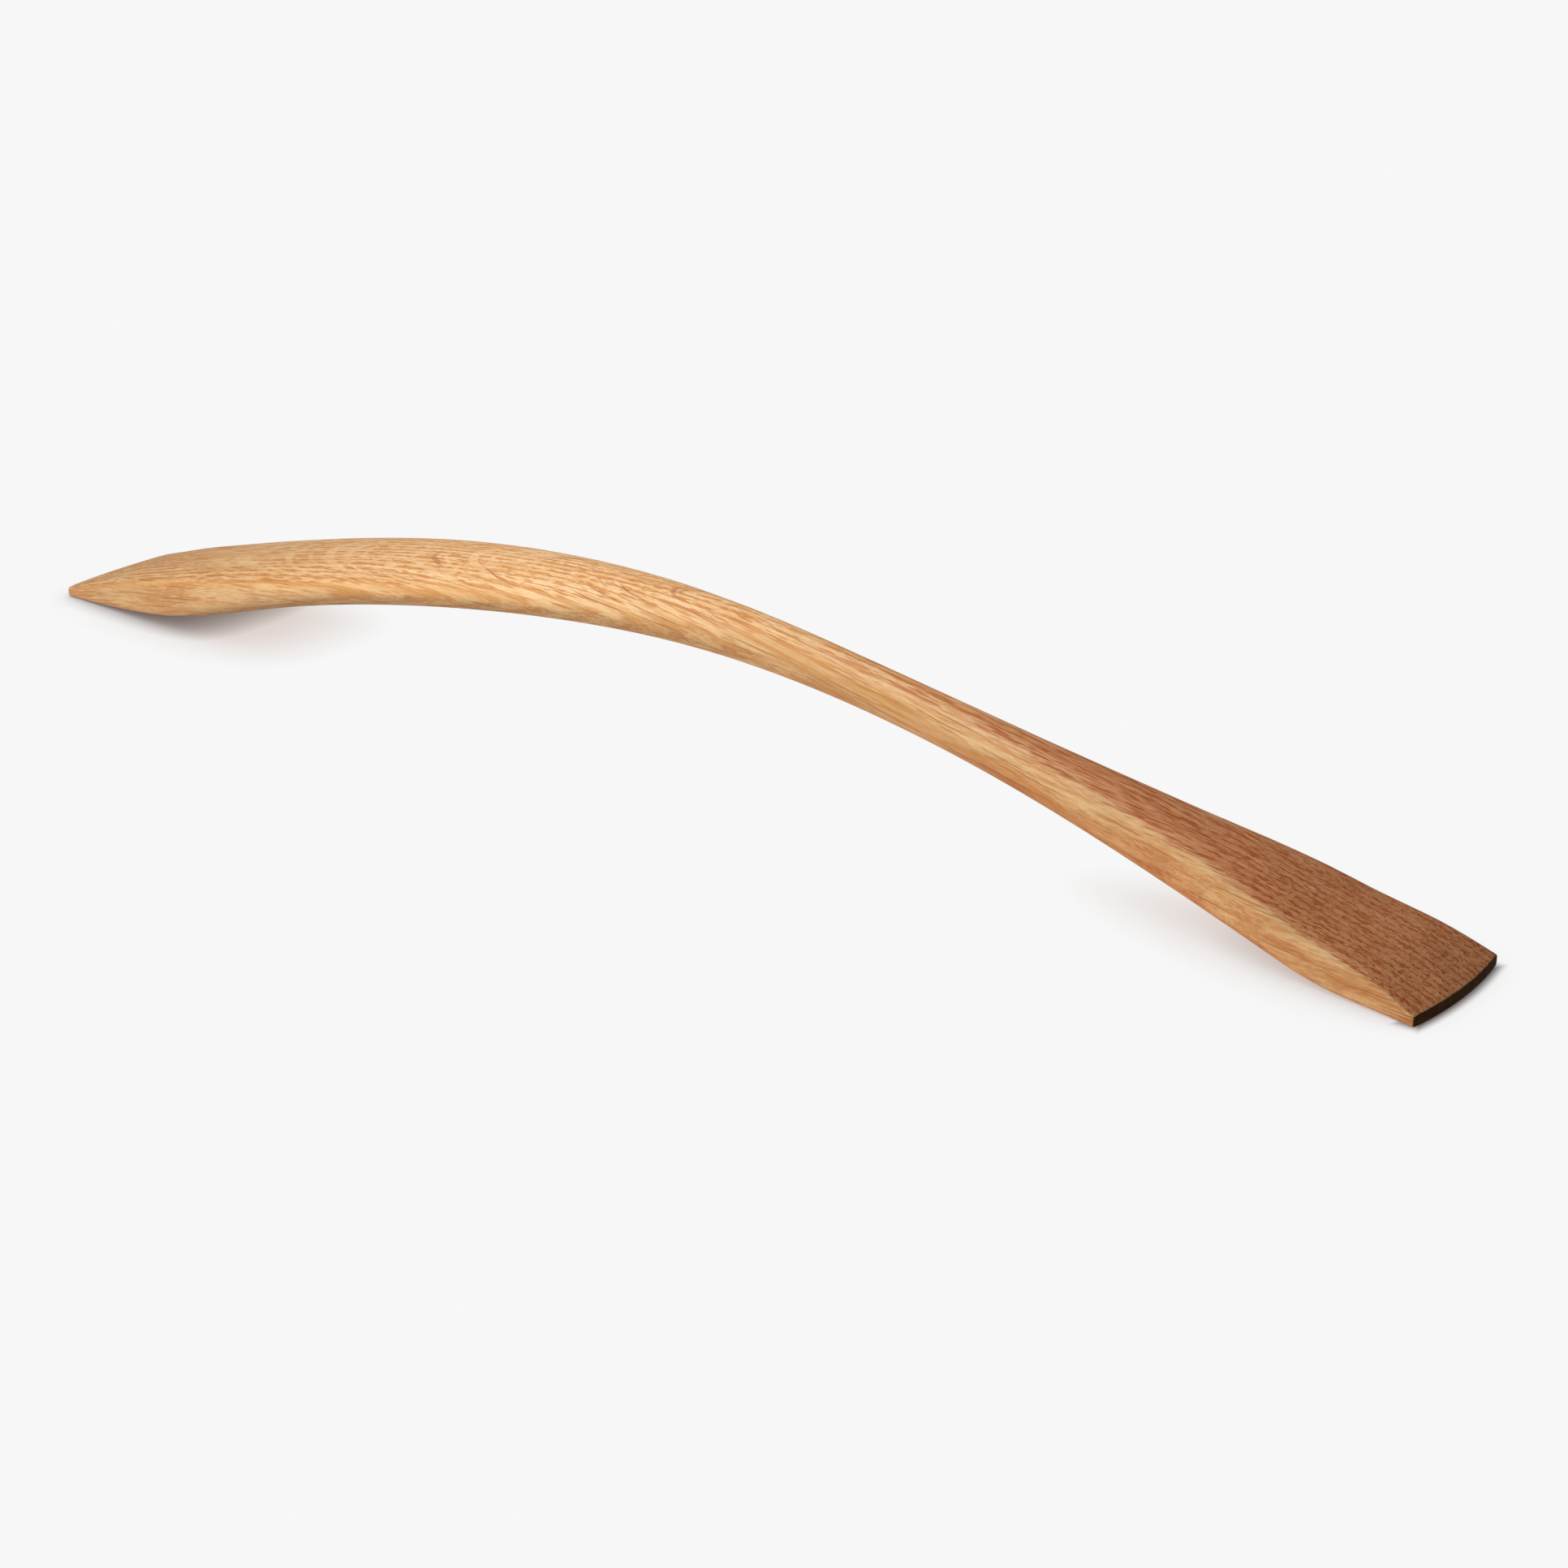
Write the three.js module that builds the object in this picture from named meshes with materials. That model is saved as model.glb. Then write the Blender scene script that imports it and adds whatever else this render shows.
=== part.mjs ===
// A long-handled shoehorn carved from one piece of oak. It lies on a level surface with its arch up, on
// the planed undersides of its two ends. Millimetres: X runs along it from the grip end (-X) to the
// blade end (+X), Y runs across it, Z is up, and the origin is on the surface, midway between the ends.

import * as THREE from 'three';

// Driving dimensions
const LENGTH = 450;
const HALF_LENGTH = LENGTH / 2;
const GRIP_END_BULGE = 0.3; // how far the middle of the grip's end edge stands past its corners
const BLADE_END_BULGE = 1.8; // the same at the blade's end edge
const FOOT_BLEND = 2.25; // height over which the arch runs out into the two feet
const FOOT_PLANING = 0.1; // depth planed off the feet to make them truly flat

// Cross-sections along the body. The underside's height is that of the arch before the feet are planed,
// so at both ends it passes below the surface.
const STATIONS = [
  { x: -225, halfWidth: 20, underside: -3.8, thickness: 3.3 }, // grip end edge
  { x: -209, halfWidth: 20.5, underside: -1, thickness: 8.7 },
  { x: -180, halfWidth: 22.2, underside: 2.8, thickness: 14.7 },
  { x: -135, halfWidth: 24.4, underside: 14.7, thickness: 14.2 }, // broadest part of the grip
  { x: -90, halfWidth: 22.4, underside: 24.7, thickness: 13.6 },
  { x: -40, halfWidth: 17, underside: 31.5, thickness: 13 },
  { x: 10, halfWidth: 9.7, underside: 32.9, thickness: 12.9 }, // crown of the arch
  { x: 60, halfWidth: 6.2, underside: 28.3, thickness: 12.1 }, // neck
  { x: 110, halfWidth: 7.4, underside: 19.3, thickness: 12.8 },
  { x: 155, halfWidth: 11.5, underside: 9.3, thickness: 14.1 },
  { x: 190, halfWidth: 16.4, underside: 1.9, thickness: 12.5 },
  { x: 211, halfWidth: 18.4, underside: -2.2, thickness: 8.7 },
  { x: 225, halfWidth: 19.8, underside: -2.8, thickness: 3.1 }, // blade end edge
];

// Each cross-section is a superellipse of this exponent: nearly an ellipse along the middle, and squarer
// towards the ends, where it has sharp arrises.
const EXPONENT = { grip: 9, middle: 2.1, blade: 11, power: 4 };
// The top face falls away towards its side edges by this share of the thickness.
const CROWN = { grip: 0.08, middle: 0.08, blade: 0.04, power: 2 };

const POINTS_AROUND = 32;
const STEPS_ALONG = 72;
const END_CROWDING = 0.25; // 0 spaces the steps evenly; more draws them towards the ends
const ROUNDING_ERROR = 1e-9;

// A natural cubic spline through [x, value] pairs, returned as a function of x.
function spline(points) {
  const last = points.length - 1;
  const curvature = new Array(last + 1).fill(0);
  const sweep = new Array(last + 1).fill(0);
  const slope = (i) => (points[i + 1][1] - points[i][1]) / (points[i + 1][0] - points[i][0]);
  for (let i = 1; i < last; i++) {
    const before = points[i][0] - points[i - 1][0];
    const after = points[i + 1][0] - points[i][0];
    const pivot = 2 * (before + after) - before * sweep[i - 1];
    sweep[i] = after / pivot;
    curvature[i] = (6 * (slope(i) - slope(i - 1)) - before * curvature[i - 1]) / pivot;
  }
  for (let i = last - 1; i > 0; i--) {
    curvature[i] -= sweep[i] * curvature[i + 1];
  }
  return (x) => {
    let i = 0;
    while (i < last - 1 && x > points[i + 1][0]) i++;
    const span = points[i + 1][0] - points[i][0];
    const right = (x - points[i][0]) / span;
    const left = 1 - right;
    const bend = (left ** 3 - left) * curvature[i] + (right ** 3 - right) * curvature[i + 1];
    return left * points[i][1] + right * points[i + 1][1] + (bend * span ** 2) / 6;
  };
}

const halfWidthAt = spline(STATIONS.map((station) => [station.x, station.halfWidth]));
const thicknessAt = spline(STATIONS.map((station) => [station.x, station.thickness]));
const archAt = spline(STATIONS.map((station) => [station.x, station.underside]));

// The arch runs out into flat feet instead of passing through the surface.
function undersideAt(x) {
  const arch = archAt(x);
  if (arch < -FOOT_BLEND) return 0;
  if (arch > FOOT_BLEND) return arch;
  return (arch + FOOT_BLEND) ** 2 / (4 * FOOT_BLEND);
}

// A value that goes from the middle's to an end's with a power of the distance from mid-length.
function towardsEnds(x, law) {
  const end = x < 0 ? law.grip : law.blade;
  return law.middle + (end - law.middle) * Math.abs(x / HALF_LENGTH) ** law.power;
}

function signedPower(value, power) {
  if (Math.abs(value) < ROUNDING_ERROR) return 0;
  return Math.sign(value) * Math.abs(value) ** power;
}

// The body's point at x on the cross-section's ray (across, up), a unit vector, or the section's middle.
function bodyPoint(x, across, up) {
  const power = 2 / towardsEnds(x, EXPONENT);
  const side = signedPower(across, power);
  const rise = (1 + signedPower(up, power)) / 2;
  const crown = towardsEnds(x, CROWN) * side ** 2;
  const z = undersideAt(x) + thicknessAt(x) * rise * (1 - crown);
  const bulge = x < 0 ? GRIP_END_BULGE : BLADE_END_BULGE;
  const setBack = bulge * (Math.abs(x) / HALF_LENGTH) ** 6 * side ** 2;
  return new THREE.Vector3(
    x - Math.sign(x) * setBack,
    halfWidthAt(x) * side,
    Math.max(0, z - FOOT_PLANING),
  );
}

// A capped cylinder of unit radius, from -1 to 1 along its axis, whose every ring becomes a cross-section.
function bodyGeometry() {
  const geometry = new THREE.CylinderGeometry(1, 1, 2, POINTS_AROUND, STEPS_ALONG);
  const position = geometry.attributes.position;
  for (let i = 0; i < position.count; i++) {
    const along = position.getY(i);
    const x = HALF_LENGTH * along * (1 + END_CROWDING * (1 - along ** 2));
    const point = bodyPoint(x, position.getZ(i), position.getX(i));
    position.setXYZ(i, point.x, point.y, point.z);
  }
  geometry.computeVertexNormals();
  return geometry;
}

const oak = new THREE.MeshStandardMaterial({ color: 0xd3a065, roughness: 0.5, metalness: 0 });

const shoehorn = new THREE.Mesh(bodyGeometry(), oak);
shoehorn.name = 'shoehorn';

const model = new THREE.Group();
model.add(shoehorn);

export default model;
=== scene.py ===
# A long-handled shoehorn carved from one piece of quarter-sawn oak, on a plain pale floor. The CAD solid is
# coarse, so a finer mesh of the same cross-sections stands for it. Blender units are metres; the body's own
# dimensions are in millimetres, as in the CAD: X along it, Y across it, Z up from the floor.

import math
from types import SimpleNamespace

import bmesh
import bpy
import numpy as np
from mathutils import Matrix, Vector, noise


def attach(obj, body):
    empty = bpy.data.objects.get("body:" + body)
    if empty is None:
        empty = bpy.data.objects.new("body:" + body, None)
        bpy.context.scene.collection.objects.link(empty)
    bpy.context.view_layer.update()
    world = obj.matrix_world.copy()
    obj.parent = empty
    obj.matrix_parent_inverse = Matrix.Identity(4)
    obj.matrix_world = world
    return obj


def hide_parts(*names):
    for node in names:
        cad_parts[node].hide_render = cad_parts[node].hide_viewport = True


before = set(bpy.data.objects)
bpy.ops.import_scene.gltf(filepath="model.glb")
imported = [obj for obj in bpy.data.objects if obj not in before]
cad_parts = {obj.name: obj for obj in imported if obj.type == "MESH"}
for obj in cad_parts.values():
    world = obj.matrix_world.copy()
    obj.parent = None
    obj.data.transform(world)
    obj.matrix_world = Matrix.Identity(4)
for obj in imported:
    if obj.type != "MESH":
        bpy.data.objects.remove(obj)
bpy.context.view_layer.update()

MM = 0.001

# ---------------------------------------------------------------- the body's cross-sections, as in the CAD

HALF_LENGTH = 225.0
GRIP_END_BULGE = 0.3
BLADE_END_BULGE = 1.8
BULGE_POWER = 6  # of the distance from the middle, with which the bulges fade along the body
FOOT_BLEND = 2.25
FOOT_PLANING = 0.1

# x, half-width, underside's height before the feet are planed, thickness
STATIONS = (
    (-225, 20.0, -3.8, 3.3),
    (-209, 20.5, -1.0, 8.7),
    (-180, 22.2, 2.8, 14.7),
    (-135, 24.4, 14.7, 14.2),
    (-90, 22.4, 24.7, 13.6),
    (-40, 17.0, 31.5, 13.0),
    (10, 9.7, 32.9, 12.9),
    (60, 6.2, 28.3, 12.1),
    (110, 7.4, 19.3, 12.8),
    (155, 11.5, 9.3, 14.1),
    (190, 16.4, 1.9, 12.5),
    (211, 18.4, -2.2, 8.7),
    (225, 19.8, -2.8, 3.1),
)
# Each law is a value at the grip end, in the middle and at the blade end, and the power of the distance
# from the middle with which it changes.
EXPONENT = (9.0, 2.1, 11.0, 4)  # of the superellipse that a cross-section is
CROWN = (0.08, 0.08, 0.04, 2)  # share of the thickness that the top face loses at its sides


def spline(column):
    """A natural cubic spline through one column of the stations, as a function of x."""
    xs = np.array([station[0] for station in STATIONS], float)
    values = np.array([station[column] for station in STATIONS], float)
    spans = np.diff(xs)
    slopes = np.diff(values) / spans
    system = np.eye(len(xs))
    bends = np.zeros(len(xs))
    for i in range(1, len(xs) - 1):
        system[i, i - 1 : i + 2] = spans[i - 1], 2 * (spans[i - 1] + spans[i]), spans[i]
        bends[i] = 6 * (slopes[i] - slopes[i - 1])
    curvature = np.linalg.solve(system, bends)

    def at(x):
        i = min(max(int(np.searchsorted(xs, x)) - 1, 0), len(spans) - 1)
        right = (x - xs[i]) / spans[i]
        left = 1 - right
        bend = (left**3 - left) * curvature[i] + (right**3 - right) * curvature[i + 1]
        return left * values[i] + right * values[i + 1] + bend * spans[i] ** 2 / 6

    return at


half_width_at = spline(1)
arch_at = spline(2)
thickness_at = spline(3)


def underside_at(x):
    arch = arch_at(x)
    if arch < -FOOT_BLEND:
        return 0.0
    if arch > FOOT_BLEND:
        return arch
    return (arch + FOOT_BLEND) ** 2 / (4 * FOOT_BLEND)


def towards_ends(x, grip, middle, blade, power):
    end = grip if x < 0 else blade
    return middle + (end - middle) * abs(x / HALF_LENGTH) ** power


# ---------------------------------------------------------------- the fine mesh

QUADRANT_STEPS = 36
FINE_STEPS = 1500  # points used to space a quadrant's steps
CORNER_SHARE = 0.4  # share of a quadrant's steps that goes by how much it turns, not by length
BODY_STEPS = 220
INSIDE = 0.9999  # keeps the fine mesh inside the CAD's box
END_CROWDING = 0.25
END_EASING = 0.45  # radius of the eased arrises round the two end faces
EASING_STEPS = 4
UNEVENNESS = 0.22  # most that hand shaping takes off the upper side
UNEVEN_SCALE = Vector((1 / 34, 1 / 11, 1 / 11))
UNEVEN_THICKNESS = 8.0  # thickness under which the unevenness shrinks with the body


def quadrant(x, half_width, half_height):
    """(side, up) from the section's side to its top, spaced by length and by how much the outline turns."""
    power = 2 / towards_ends(x, *EXPONENT)
    angles = np.linspace(0, math.pi / 2, FINE_STEPS)
    side = np.cos(angles).clip(0) ** power
    up = np.sin(angles).clip(0) ** power
    across = np.diff(side * half_width)
    rise = np.diff(up * half_height)
    length = np.hypot(across, rise)
    turn = np.abs(np.diff(np.arctan2(rise, across), prepend=math.pi / 2))
    weight = (1 - CORNER_SHARE) * length / length.sum() + CORNER_SHARE * turn / turn.sum()
    travelled = np.concatenate(([0], np.cumsum(weight)))
    steps = np.linspace(0, travelled[-1], QUADRANT_STEPS + 1)
    return np.interp(steps, travelled, side), np.interp(steps, travelled, up)


def section(x, inset):
    """One closed ring of points round the body at x, drawn in by inset all round."""
    half_width = half_width_at(x) - inset
    thickness = thickness_at(x) - 2 * inset
    side, up = quadrant(x, half_width, thickness / 2)
    sides = np.concatenate((side[:-1], -side[::-1][:-1], -side[:-1], side[::-1][:-1]))
    ups = np.concatenate((up[:-1], up[::-1][:-1], -up[:-1], -up[::-1][:-1]))
    bulge = GRIP_END_BULGE if x < 0 else BLADE_END_BULGE
    set_back = math.copysign(bulge * (abs(x) / HALF_LENGTH) ** BULGE_POWER, x)
    points = []
    for across, height in zip(sides, ups):
        rise = (1 + height) / 2
        crown = towards_ends(x, *CROWN) * across**2
        z = underside_at(x) + inset + thickness * rise * (1 - crown)
        point = Vector((x - set_back * across**2, half_width * across, max(0.0, z - FOOT_PLANING)))
        dip = 0.5 + 0.5 * noise.noise(point * UNEVEN_SCALE)
        point.z -= UNEVENNESS * dip * rise**2 * min(1.0, thickness / UNEVEN_THICKNESS)
        points.append(point)
    return points


def stations_along():
    """(x, inset) of every ring, from the grip's end face to the blade's."""
    turns = [math.pi / 2 * step / EASING_STEPS for step in range(EASING_STEPS, 0, -1)]
    easing = [(END_EASING * (1 - math.sin(turn)), END_EASING * (1 - math.cos(turn))) for turn in turns]
    rings = [(-HALF_LENGTH + back, inset) for back, inset in easing]
    reach = HALF_LENGTH - END_EASING
    for step in range(BODY_STEPS + 1):
        along = 2 * step / BODY_STEPS - 1
        rings.append((reach * along * (1 + END_CROWDING * (1 - along**2)), 0.0))
    rings += [(HALF_LENGTH - back, inset) for back, inset in reversed(easing)]
    return rings


def cap(mesh, ring):
    """Closes an end with strips between the ring's upper and lower points. The outermost are triangles."""
    for i in range(len(ring) // 2):
        corners = dict.fromkeys((ring[i], ring[i + 1], ring[-i - 1], ring[-i]))
        mesh.faces.new(list(corners))


def build_body():
    mesh = bmesh.new()
    rings = []
    for x, inset in stations_along():
        rings.append([mesh.verts.new(point * INSIDE * MM) for point in section(x, inset)])
    count = len(rings[0])
    for near, far in zip(rings, rings[1:]):
        for i in range(count):
            following = (i + 1) % count
            mesh.faces.new((near[i], far[i], far[following], near[following]))
    cap(mesh, rings[0])
    cap(mesh, rings[-1])
    bmesh.ops.recalc_face_normals(mesh, faces=mesh.faces)
    for face in mesh.faces:
        face.smooth = True
    data = bpy.data.meshes.new("shoehorn_body")
    mesh.to_mesh(data)
    mesh.free()
    body = bpy.data.objects.new("shoehorn_body", data)
    bpy.context.scene.collection.objects.link(body)
    return body


# ---------------------------------------------------------------- shading


class Graph:
    """Adds nodes to a node tree. An input is a number, a tuple or another node's output."""

    def __init__(self, tree):
        self.tree = tree

    def node(self, kind, inputs=None, **settings):
        made = self.tree.nodes.new(kind)
        for name, value in settings.items():
            setattr(made, name, value)
        for key, value in (inputs or {}).items():
            self.feed(made.inputs[key], value)
        return made

    def feed(self, socket, value):
        if isinstance(value, bpy.types.NodeSocket):
            self.tree.links.new(value, socket)
        else:
            socket.default_value = value

    def math(self, operation, *values):
        return self.node("ShaderNodeMath", dict(enumerate(values)), operation=operation).outputs[0]

    def product(self, first, *others):
        for other in others:
            first = self.math("MULTIPLY", first, other)
        return first

    def total(self, first, *others):
        for other in others:
            first = self.math("ADD", first, other)
        return first

    def complement(self, share):
        return self.math("SUBTRACT", 1.0, share)

    def between(self, share, start, end):
        """Goes evenly from start to end as a share goes from 0 to 1."""
        return self.node("ShaderNodeMix", {0: share, 2: start, 3: end}, data_type="FLOAT").outputs[0]

    def step(self, value, low, high, start=0.0, end=1.0):
        """Goes smoothly from start, where value is low, to end, where it is high."""
        inputs = {"Value": value, "From Min": low, "From Max": high, "To Min": start, "To Max": end}
        return self.node("ShaderNodeMapRange", inputs, interpolation_type="SMOOTHSTEP").outputs[0]

    def window(self, value, rise, fall):
        """1 between two smooth edges, 0 outside them."""
        return self.product(self.step(value, *rise), self.step(value, *fall, 1.0, 0.0))

    def millimetres(self, place):
        """A place's three coordinates in millimetres."""
        scaled = self.node("ShaderNodeVectorMath", {0: place, "Scale": 1 / MM}, operation="SCALE")
        return tuple(self.node("ShaderNodeSeparateXYZ", {0: scaled.outputs[0]}).outputs)

    def stretched(self, parts, lengths):
        """A vector whose parts are each divided by a length."""
        shrunk = [self.math("DIVIDE", part, length) for part, length in zip(parts, lengths)]
        return self.node("ShaderNodeCombineXYZ", dict(enumerate(shrunk))).outputs[0]

    def noise(self, parts, lengths, detail=2.0, roughness=0.5):
        inputs = {"Vector": self.stretched(parts, lengths), "Scale": 1.0}
        inputs.update({"Detail": detail, "Roughness": roughness})
        return self.node("ShaderNodeTexNoise", inputs).outputs[0]

    def wander(self, parts, lengths, size, detail=2.0):
        """Noise centred on 0 that reaches about size either way."""
        centred = self.math("SUBTRACT", self.noise(parts, lengths, detail), 0.5)
        return self.product(centred, 3 * size)

    def cells(self, parts, lengths):
        inputs = {"Vector": self.stretched(parts, lengths), "Scale": 1.0}
        return self.node("ShaderNodeTexVoronoi", inputs).outputs["Distance"]

    def mix(self, share, start, end, blend="MIX"):
        made = self.node("ShaderNodeMix", {0: share, 6: start, 7: end}, data_type="RGBA", blend_type=blend)
        return made.outputs[2]

    def tint(self, share, colour, tint):
        """Multiplies a share of the colour by a tint."""
        return self.mix(share, colour, tint, "MULTIPLY")


# ---------------------------------------------------------------- oak, as a solid texture


PALE = (0.80, 0.565, 0.32, 1)
TAN = (0.71, 0.445, 0.215, 1)
ORANGE = (0.58, 0.245, 0.055, 1)
BROWN = (0.42, 0.17, 0.05, 1)
RAY = (0.34, 0.115, 0.03, 1)
# Tints
PORE = (0.66, 0.44, 0.28, 1)
# Painted shade: the blade's upper face, turned away from the light, darker and redder
BLADE_TOP_SHADE = (0.75, 0.49, 0.385, 1)
# Painted shade that darkens the grip's flat faces
GRIP_TOP_SHADE = (0.85, 0.81, 0.74, 1)
SIDE = (1.0, 0.95, 0.84, 1)
# Painted shade on the surfaces that face down, darker and redder
LOWER_SHADE = (0.80, 0.55, 0.36, 1)
END_GRAIN = (0.45, 0.38, 0.33, 1)

FIBRE_RISE = 17.8  # how far the fibres rise and fall with the arch
FIBRE_CREST = -65.0  # x where they are highest
FIBRE_WAVE = 560.0  # from one crest to the next
RING_WIDTH = 2.35
RING_RADIUS = 110.0
PITH_HEIGHT = 10.0

# Lengths of each part of the figure along the body, across it and up
FEATHER_SIZE = (8, 0.8, 0.8)
SWAY_SIZE = (150, 40, 30)
WAVER_SIZE = (60, 12, 6)
UNEVEN_RING_SIZE = (7, 1, 1)  # across the rings; the other two have no effect
RAY_WAVER_SIZE = (30, 16, 12)
BAND_SIZE = (70, 45, 0.5)
LINE_SIZE = (40, 40, 0.62)
RAGGED_SIZE = (8, 0.45, 0.45)
DRAWN_OUT_SIZE = (24, 1.4, 1.4)
FLAME_SIZE = (26, 2.4, 1.8)
VESSEL_SIZE = (6.0, 0.31, 0.31)
FINE_VESSEL_SIZE = (3.6, 0.2, 0.2)
FIBRE_SIZE = (20, 0.3, 0.3)
STREAK_SIZE = (80, 2.4, 3.0)
DRIFT_SIZE = (45, 2.5, 2.5)
FACET_SIZE = (15, 5, 5)

# How far each wandering value reaches
FEATHER = 0.17
SWAY = 1.3
WAVER = 0.55
UNEVEN_RING = 0.9
RAY_WAVER = 0.4
RAGGED = 1.0
DRAWN_OUT = 0.6
DRIFT = 0.3

# Ramps: from, to and, unless they are 0 and 1, the values there. First along the body, in x.
BLADE_WOOD = (10.0, 150.0)
BAND_IN = (-190.0, -150.0)
BAND_OUT = (-70.0, -30.0)
RIDGE_IN = (-105.0, -75.0)
RIDGE_OUT = (0.0, 50.0)
FLAME_ALONG = (-60.0, 60.0, 0.1, 0.5)
# Painted shade on the grip's flat faces, fading out towards the middle
GRIP_TOP_SHADE_ALONG = (-190.0, -20.0, 1.0, 0.0)
# From the grip's wood to the blade's
ROW_ALONG = (0.0, 1.0, 0.65, 0.4)
PORES_ALONG = (0.0, 1.0, 0.55, 1.0)
# Painted shade on the surfaces that face down grows towards the blade
LOWER_SHADE_ALONG = (0.0, 1.0, 0.08, 1.0)
# From the sides to the flat-lying surface
LINES_ON_SIDES = (0.0, 0.6, 1.0, 0.0)
FLAMES_ON_SIDES = (0.0, 0.7, 1.0, 0.0)
PORES_ON_FLAT = (0.0, 1.0, 0.35, 1.0)
RING_EDGE_ON_SIDES = (0.0, 1.0, 0.24, 0.0)
# By how far the surface faces up, along the body, and down
FLAT_CUT = (0.62, 0.95)
END_FACE = (0.6, 0.9)
# Painted shade on the surfaces that face down
FACING_DOWN = (-0.35, 0.35, 1.0, 0.0)
# Through one ring, from 0 to 1. The early wood comes in just before 1 and goes out after 0.
EARLY_OUT = (0.05, 0.60, 1.0, 0.0)
EARLY_IN = (0.93, 1.0)
RING_EDGE_IN = (0.84, 0.93)
RING_EDGE_OUT = (0.95, 1.0)
# In the noise that a feature is made of
BAND = (0.50, 0.62)
LINE = (0.14, 0.30, 1.0, 0.0)
PATCH = (0.05, 0.5)
FLAME = (0.47, 0.62)
FLAME_RAGS = (-0.5, 0.4, 0.35, 1.0)
VESSEL_REACH = (0.0, 1.0, 0.38, 0.62)
VESSEL_WALL = (-0.14, 0.05, 1.0, 0.0)
FINE_VESSEL = (0.20, 0.48, 1.0, 0.0)
STREAK = (0.34, 0.62)
FIBRE = (0.38, 0.68, 0.0, 0.30)

# Shares of a feature's colour
GRIP_SIDE_PATCH = 0.55
BLADE_SIDE_PATCH = 0.28
FLAT_PATCH = 0.85
BAND_COVER = 0.75  # share of a patch that a ray's band hides
PORE_SHARE = 0.80
FINE_PORE_SHARE = 0.26
LINE_SHARE = 0.68

ROUGHNESS = 0.52
PORE_ROUGHNESS = 0.12
FIBRE_ROUGHNESS = 0.16
SURFACE_IOR = 1.38
# Relief, in units of BUMP_DISTANCE
PORE_DEPTH = 0.9
FINE_PORE_DEPTH = 0.3
FIBRE_HEIGHT = 0.6
FACET_HEIGHT = 14.0
BUMP_DISTANCE = 0.06 * MM
BUMP_STRENGTH = 0.6


def locate(g):
    """Where a point lies among the oak's fibres, and how the surface cuts them there."""
    place = g.node("ShaderNodeTexCoord").outputs
    x, y, z = g.millimetres(place["Object"])
    facing_along, _, facing_up = g.node("ShaderNodeSeparateXYZ", {0: place["Normal"]}).outputs

    # The fibres follow the arch part of the way, so that it crosses them at a shallow slope.
    phase = g.product(g.math("SUBTRACT", x, FIBRE_CREST), 2 * math.pi / FIBRE_WAVE)
    level = g.math("SUBTRACT", z, g.product(g.math("COSINE", phase), FIBRE_RISE))
    fibres = (x, y, level)

    # The flat-lying surface ends in a border feathered along the fibres.
    feather = g.wander(fibres, FEATHER_SIZE, FEATHER)
    flat_cut = g.step(g.total(g.math("ABSOLUTE", facing_up), feather), *FLAT_CUT)
    return SimpleNamespace(
        solid=(x, y, z),
        fibres=fibres,
        flat_cut=flat_cut,
        facing_up=facing_up,
        endward=g.math("ABSOLUTE", facing_along),
        towards_blade=g.step(x, *BLADE_WOOD),
    )


def rings(g, at):
    """Growth rings stand across Y, curve slightly round a pith far out to one side, and waver."""
    x, y, level = at.fibres
    from_pith = g.math("SUBTRACT", level, PITH_HEIGHT)
    curve = g.math("DIVIDE", g.product(from_pith, from_pith), 2 * RING_RADIUS)
    sway = g.wander(at.fibres, SWAY_SIZE, SWAY)
    waver = g.wander(at.fibres, WAVER_SIZE, WAVER)
    depth = g.total(y, curve, sway, waver)
    uneven = g.wander((depth, 0.0, 0.0), UNEVEN_RING_SIZE, UNEVEN_RING, detail=1)
    ring = g.math("FRACT", g.math("DIVIDE", g.total(depth, uneven), RING_WIDTH))
    early = g.math("MAXIMUM", g.step(ring, *EARLY_OUT), g.step(ring, *EARLY_IN))
    edge = g.window(ring, RING_EDGE_IN, RING_EDGE_OUT)
    return (x, depth, level), early, edge


def rays(g, at):
    """Rays lie nearly level. Where they are cut flat they hide the early wood in soft bands across the
    grip; where they are cut on edge they are thin dark lines."""
    x, y, level = at.fibres
    among_rays = (x, y, g.total(level, g.wander(at.fibres, RAY_WAVER_SIZE, RAY_WAVER)))
    band = g.step(g.noise(among_rays, BAND_SIZE, detail=1), *BAND)
    band = g.product(band, g.window(x, BAND_IN, BAND_OUT), at.flat_cut)
    on_ridge = g.window(x, RIDGE_IN, RIDGE_OUT)
    shown = g.math("MAXIMUM", on_ridge, g.step(at.flat_cut, *LINES_ON_SIDES))
    lines = g.product(g.step(g.cells(among_rays, LINE_SIZE), *LINE), shown)
    return band, lines


def early_wood(g, at, among_rings, early, band):
    """Orange rows with ragged borders drawn out along the fibres, and mottled flames on the sides."""
    ragged = g.wander(at.fibres, RAGGED_SIZE, RAGGED)
    drawn_out = g.wander(at.fibres, DRAWN_OUT_SIZE, DRAWN_OUT)
    row = g.product(early, g.step(at.towards_blade, *ROW_ALONG))
    patch = g.step(g.total(row, ragged, drawn_out), *PATCH)
    patch = g.product(patch, g.complement(g.product(band, BAND_COVER)))

    flame = g.step(g.noise(among_rings, FLAME_SIZE, detail=1), *FLAME)
    flame = g.product(flame, g.step(ragged, *FLAME_RAGS), g.step(at.flat_cut, *FLAMES_ON_SIDES))
    flame = g.product(flame, g.step(among_rings[0], *FLAME_ALONG))
    return patch, flame


def vessels(g, at, patch):
    """Long narrow pores along the fibres, crowded in the early wood, and finer ones everywhere."""
    wall = g.math("SUBTRACT", g.cells(at.fibres, VESSEL_SIZE), g.step(patch, *VESSEL_REACH))
    pores = g.product(g.step(wall, *VESSEL_WALL), g.step(at.flat_cut, *PORES_ON_FLAT))
    pores = g.product(pores, g.step(at.towards_blade, *PORES_ALONG))
    fine_pores = g.step(g.cells(at.fibres, FINE_VESSEL_SIZE), *FINE_VESSEL)
    return pores, fine_pores


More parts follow.
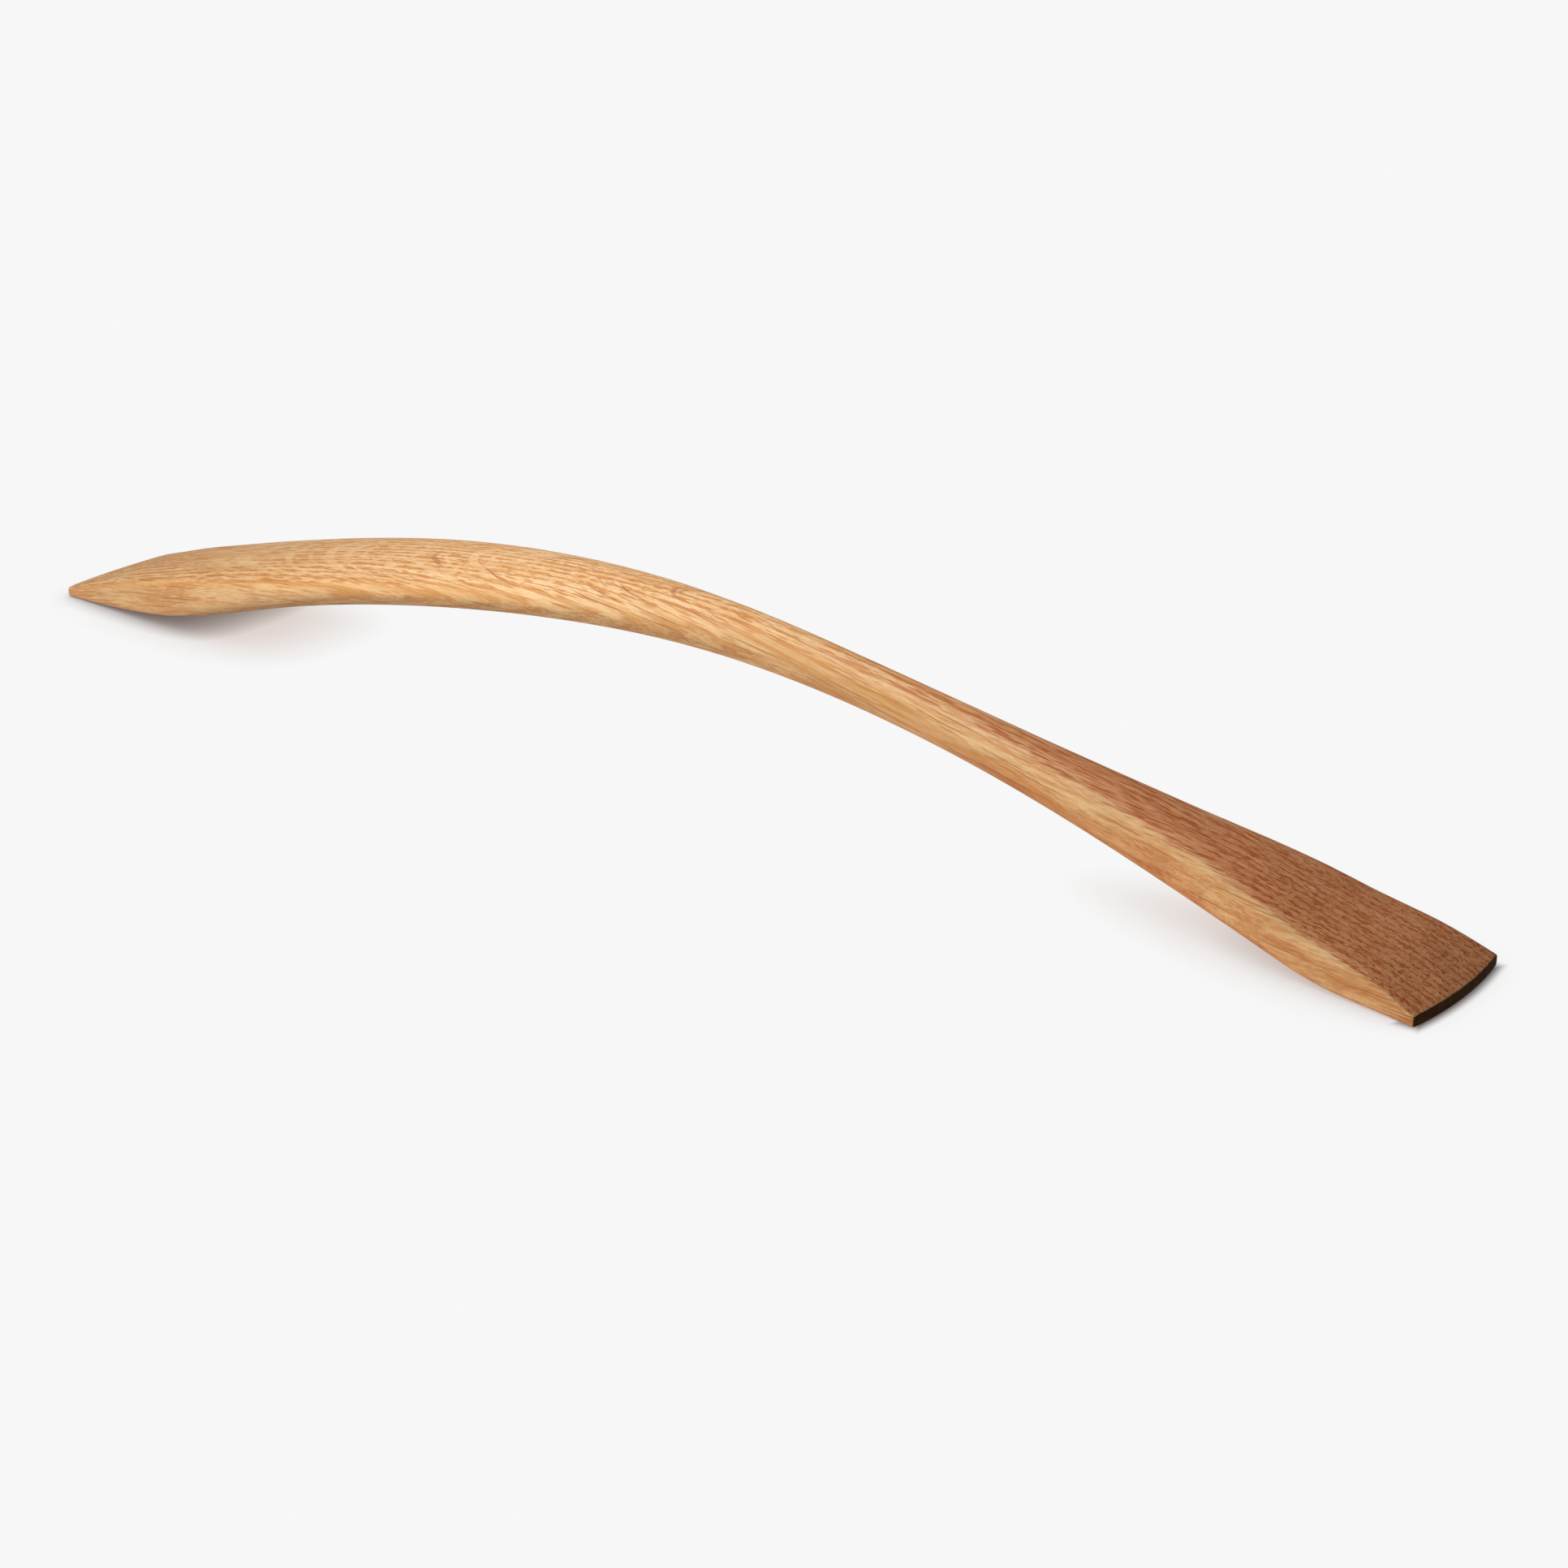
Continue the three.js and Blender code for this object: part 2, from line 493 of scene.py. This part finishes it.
def tinted_and_shaded(g, at, colour):
    """The wood's colour on each side of the body, with painted shade on the blade's upper face, on the
    grip's flat faces and on the surfaces that face down.
    """
    colour = g.tint(g.complement(at.flat_cut), colour, SIDE)
    # Painted shade on the blade's upper face, growing towards the blade
    colour = g.tint(g.product(at.flat_cut, at.towards_blade), colour, BLADE_TOP_SHADE)
    # Painted shade: the grip's flat faces are darkened, less towards the middle
    grip_top_shade = g.product(at.flat_cut, g.step(at.fibres[0], *GRIP_TOP_SHADE_ALONG))
    colour = g.tint(grip_top_shade, colour, GRIP_TOP_SHADE)
    # Painted shade: surfaces that face down are darker and redder, with a wandering edge
    drift = g.wander(at.fibres, DRIFT_SIZE, DRIFT)
    lower = g.step(g.total(at.facing_up, drift), *FACING_DOWN)
    lower = g.product(lower, g.step(at.towards_blade, *LOWER_SHADE_ALONG))
    colour = g.tint(lower, colour, LOWER_SHADE)
    return g.tint(g.step(at.endward, *END_FACE), colour, END_GRAIN)


def oak_material():
    material = bpy.data.materials.new("oak")
    material.use_nodes = True
    tree = material.node_tree
    tree.nodes.clear()
    g = Graph(tree)

    at = locate(g)
    among_rings, early, ring_edge = rings(g, at)
    band, lines = rays(g, at)
    patch, flame = early_wood(g, at, among_rings, early, band)
    pores, fine_pores = vessels(g, at, patch)
    fibre = g.noise(at.fibres, FIBRE_SIZE, detail=4, roughness=0.6)
    streak = g.noise(among_rings, STREAK_SIZE, detail=3, roughness=0.55)

    side_patch = g.between(at.towards_blade, GRIP_SIDE_PATCH, BLADE_SIDE_PATCH)
    patch_share = g.between(at.flat_cut, side_patch, FLAT_PATCH)
    edge_share = g.step(at.flat_cut, *RING_EDGE_ON_SIDES)
    colour = g.mix(g.step(streak, *STREAK), TAN, PALE)
    colour = g.mix(g.product(patch, patch_share), colour, ORANGE)
    colour = g.mix(flame, colour, ORANGE)
    colour = g.mix(g.product(ring_edge, edge_share), colour, BROWN)
    colour = g.mix(g.step(fibre, *FIBRE), colour, ORANGE)
    colour = g.tint(g.product(pores, PORE_SHARE), colour, PORE)
    colour = g.tint(g.product(fine_pores, FINE_PORE_SHARE), colour, PORE)
    colour = g.mix(g.product(lines, LINE_SHARE), colour, RAY)
    colour = tinted_and_shaded(g, at, colour)

    rough = g.total(g.product(pores, PORE_ROUGHNESS), g.product(fibre, FIBRE_ROUGHNESS), ROUGHNESS)
    facet = g.noise(at.solid, FACET_SIZE, detail=1)
    height = g.total(
        g.product(pores, -PORE_DEPTH),
        g.product(fibre, FIBRE_HEIGHT),
        g.product(fine_pores, -FINE_PORE_DEPTH),
        g.product(facet, FACET_HEIGHT),
    )
    relief = {"Height": height, "Strength": BUMP_STRENGTH, "Distance": BUMP_DISTANCE}
    bump = g.node("ShaderNodeBump", relief).outputs[0]
    surface = {"Base Color": colour, "Roughness": rough, "IOR": SURFACE_IOR, "Normal": bump}
    shader = g.node("ShaderNodeBsdfPrincipled", surface)
    g.node("ShaderNodeOutputMaterial", {0: shader.outputs[0]})
    return material


# ---------------------------------------------------------------- floor, light and camera

FLOOR_SIZE = 40.0
GROUND = 0.93
AO_SAMPLES = 8
SHADOW_TILT = (-0.15, -0.45, 0.88)  # towards the light
SHADOW_REACH = 0.017
SHADOW_POWER = 1.3
SHADOW_LOSS = (0.28, 0.40, 0.45)  # most that red, green and blue lose in the broad shadow
CONTACT_REACH = 0.0075
CONTACT_POWER = 1.2
CONTACT_ALONG = (-0.5 * HALF_LENGTH, 0.5 * HALF_LENGTH, 0.9, 0.2)  # stronger at the grip
# Painted contact shadow on the floor
CONTACT_SHADOW = (0.07, 0.05, 0.045, 1)  # the dark line where the body touches
END_SHADOW = (0.11, 0.10, 0.105, 1)
END_SHADOW_WIDTH = 2.7
END_SHADOW_OUT = (-0.22 * END_SHADOW_WIDTH, END_SHADOW_WIDTH)
END_SHADOW_BACK = (-2 * END_SHADOW_WIDTH, -END_SHADOW_WIDTH, 1.0, 0.0)
END_SHADOW_SIDES = (0.85, 1.12)  # in half-widths of the blade's end

# Parts of the sky, as ramps over its directions, and how bright it is there
SKY_LEFT = (-0.8, 0.5, 1.0, 0.0)
SKY_FRONT = (-0.8, 0.5, 1.0, 0.0)
SKY_BACK = (-0.2, 0.8)
SKY_BELOW = (-0.25, 0.15, 1.0, 0.0)
BOUNCE = 4.4  # from the front, on the left and below
WARM_BOUNCE = (1.0, 0.92, 0.84, 1)
BACK_FILL = 0.5
BASE_FILL = 0.06

KEY_PLACE = Vector((-0.10, -0.20, 0.50))
KEY_AIM = Vector((-0.02, 0.0, 0.02))
KEY_SIZE = 0.3
KEY_POWER = 3.5

# Fitted together with the body
CAMERA_PLACE = Vector((0.48825, -0.57063, 0.31104))
CAMERA_AZIMUTH = 38.566
CAMERA_PITCH = 23.044
CAMERA_LENS = 71.11
SENSOR = 36.0


def hidden(g, power, reach):
    """How much of what is above a point on the floor the body hides, raised to a power."""
    open_share = g.node("ShaderNodeAmbientOcclusion", reach, samples=AO_SAMPLES).outputs["AO"]
    return g.math("POWER", g.complement(open_share), power)


def build_floor():
    mesh = bpy.data.meshes.new("floor")
    edge = FLOOR_SIZE / 2
    corners = [(-edge, -edge, 0), (edge, -edge, 0), (edge, edge, 0), (-edge, edge, 0)]
    mesh.from_pydata(corners, [], [(0, 1, 2, 3)])
    floor = bpy.data.objects.new("floor", mesh)
    bpy.context.scene.collection.objects.link(floor)
    material = bpy.data.materials.new("floor")
    material.use_nodes = True
    tree = material.node_tree
    tree.nodes.clear()
    g = Graph(tree)
    x, y, _ = g.millimetres(g.node("ShaderNodeTexCoord").outputs["Object"])
    broad = hidden(g, SHADOW_POWER, {"Distance": SHADOW_REACH, "Normal": SHADOW_TILT})
    close = hidden(g, CONTACT_POWER, {"Distance": CONTACT_REACH})
    close = g.product(close, g.step(x, *CONTACT_ALONG))
    channels = [g.math("SUBTRACT", GROUND, g.product(broad, loss)) for loss in SHADOW_LOSS]
    colour = g.node("ShaderNodeCombineColor", dict(enumerate(channels))).outputs[0]
    colour = g.mix(close, colour, CONTACT_SHADOW)

    # The light comes from the grip's side, so a narrow strip beyond the blade's end face is in shadow.
    across = g.math("DIVIDE", y, half_width_at(HALF_LENGTH))
    set_back = g.product(across, across, BLADE_END_BULGE)
    beyond = g.math("SUBTRACT", g.total(x, set_back), HALF_LENGTH)
    lit = g.math("MAXIMUM", g.step(beyond, *END_SHADOW_OUT), g.step(beyond, *END_SHADOW_BACK))
    lit = g.math("MAXIMUM", lit, g.step(g.math("ABSOLUTE", across), *END_SHADOW_SIDES))
    colour = g.mix(lit, END_SHADOW, colour)
    glow = g.node("ShaderNodeEmission", {"Color": colour, "Strength": 1.0})
    g.node("ShaderNodeOutputMaterial", {0: glow.outputs[0]})
    mesh.materials.append(material)
    floor.visible_diffuse = False
    floor.visible_glossy = False
    return floor


def build_sky():
    world = bpy.data.worlds.new("studio")
    bpy.context.scene.world = world
    world.use_nodes = True
    tree = world.node_tree
    tree.nodes.clear()
    g = Graph(tree)
    direction = g.node("ShaderNodeTexCoord").outputs["Generated"]
    x, y, z = g.node("ShaderNodeSeparateXYZ", {0: direction}).outputs
    left = g.step(x, *SKY_LEFT)
    below = g.step(z, *SKY_BELOW)
    bounce = g.product(left, g.step(y, *SKY_FRONT), below, BOUNCE)
    fill = g.product(left, g.step(y, *SKY_BACK), BACK_FILL)
    strength = g.total(bounce, fill, BASE_FILL)
    tint = g.mix(below, (1, 1, 1, 1), WARM_BOUNCE)
    light = g.node("ShaderNodeBackground", {"Color": tint, "Strength": strength})
    backdrop = g.node("ShaderNodeBackground", {"Color": (GROUND, GROUND, GROUND, 1), "Strength": 1.0})
    seen = g.node("ShaderNodeLightPath").outputs["Is Camera Ray"]
    both = g.node("ShaderNodeMixShader", {0: seen, 1: light.outputs[0], 2: backdrop.outputs[0]})
    g.node("ShaderNodeOutputWorld", {0: both.outputs[0]})


def build_key(body):
    """A lamp that lights the body alone."""
    data = bpy.data.lights.new("key", "AREA")
    data.shape = "SQUARE"
    data.size = KEY_SIZE
    data.energy = KEY_POWER
    key = bpy.data.objects.new("key", data)
    bpy.context.scene.collection.objects.link(key)
    key.location = KEY_PLACE
    key.rotation_euler = (KEY_AIM - KEY_PLACE).to_track_quat("-Z", "Y").to_euler()
    lit = bpy.data.collections.new("lit_by_key")
    lit.objects.link(body)
    key.light_linking.receiver_collection = lit


def build_camera():
    data = bpy.data.cameras.new("camera")
    data.lens = CAMERA_LENS
    data.sensor_width = SENSOR
    data.clip_start = 0.01
    data.clip_end = 2 * FLOOR_SIZE
    camera = bpy.data.objects.new("camera", data)
    bpy.context.scene.collection.objects.link(camera)
    camera.rotation_euler = (math.radians(90 - CAMERA_PITCH), 0, math.radians(CAMERA_AZIMUTH))
    camera.location = CAMERA_PLACE
    bpy.context.scene.camera = camera


body = build_body()
body.data.materials.append(oak_material())
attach(body, "root")
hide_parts("shoehorn")

floor = build_floor()
build_sky()
build_key(body)
build_camera()
bpy.context.scene.view_settings.view_transform = "Standard"
